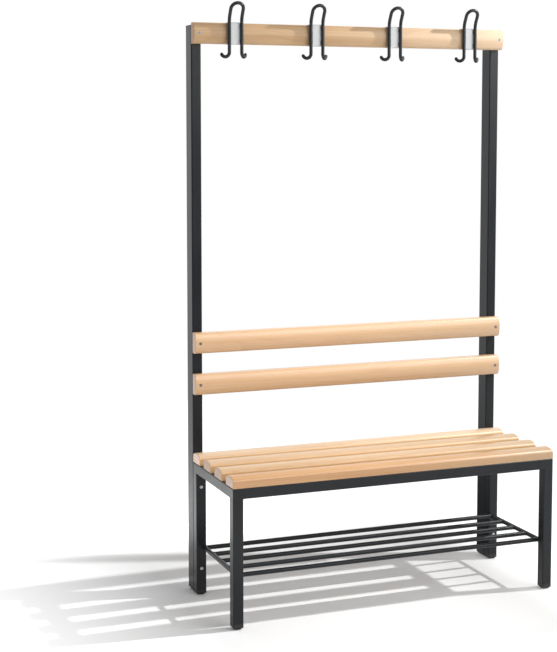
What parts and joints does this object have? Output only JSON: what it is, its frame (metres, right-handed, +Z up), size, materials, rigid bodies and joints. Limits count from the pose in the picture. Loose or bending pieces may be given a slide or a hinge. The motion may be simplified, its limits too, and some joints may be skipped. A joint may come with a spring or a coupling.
{
  "type": "cloakroom bench",
  "caption": "Cloakroom bench: slatted wooden seat on a welded steel tube frame with a shoe rack, slatted backrest and a rail of double coat hooks on tall uprights.",
  "frame": {"origin": "on the floor, in the middle of the bench's overall width and depth", "axes": "+X to the sitter's left along the slats (right as seen from the front), +Y to the back, +Z up"},
  "size_m": [1, 0.4, 1.7215],
  "materials": {
    "powder_coat": "anthracite powder coat, satin, fine texture",
    "hook_coat": "anthracite coat, smooth satin",
    "saddle_plate": "light grey coat, satin",
    "beech": "clear lacquered beech",
    "black_plastic": "black, matte, moulded",
    "zinc": "bright zinc plated"
  },
  "bodies": {
    "root": {"front_left_leg": "powder_coat", "front_left_leg_glide": "black_plastic", "front_rail": "powder_coat", "front_right_leg": "powder_coat", "front_right_leg_glide": "black_plastic", "hook_cap_nuts": "zinc", "hook_rail": "beech", "hook_rod_1": "hook_coat", "hook_rod_2": "hook_coat", "hook_rod_3": "hook_coat", "hook_rod_4": "hook_coat", "hook_saddle_1": "saddle_plate", "hook_saddle_2": "saddle_plate", "hook_saddle_3": "saddle_plate", "hook_saddle_4": "saddle_plate", "hook_studs": "zinc", "hook_washers": "zinc", "left_side_rail": "powder_coat", "left_upright": "powder_coat", "left_upright_cap": "black_plastic", "left_upright_glide": "black_plastic", "leg_rivet_nuts": "zinc", "leg_screws": "zinc", "lower_backrest_slat": "beech", "rear_left_leg": "powder_coat", "rear_left_leg_glide": "black_plastic", "rear_rail": "powder_coat", "rear_right_leg": "powder_coat", "rear_right_leg_glide": "black_plastic", "right_side_rail": "powder_coat", "right_upright": "powder_coat", "right_upright_cap": "black_plastic", "right_upright_glide": "black_plastic", "seat_screws": "zinc", "seat_slat_1": "beech", "seat_slat_2": "beech", "seat_slat_3": "beech", "seat_slat_4": "beech", "shelf_left_bar": "powder_coat", "shelf_long_bar_1": "powder_coat", "shelf_long_bar_2": "powder_coat", "shelf_long_bar_3": "powder_coat", "shelf_long_bar_4": "powder_coat", "shelf_long_bar_5": "powder_coat", "shelf_right_bar": "powder_coat", "slat_rivet_nuts": "zinc", "slat_screws": "zinc", "upper_backrest_slat": "beech"}
  },
  "joints": []
}
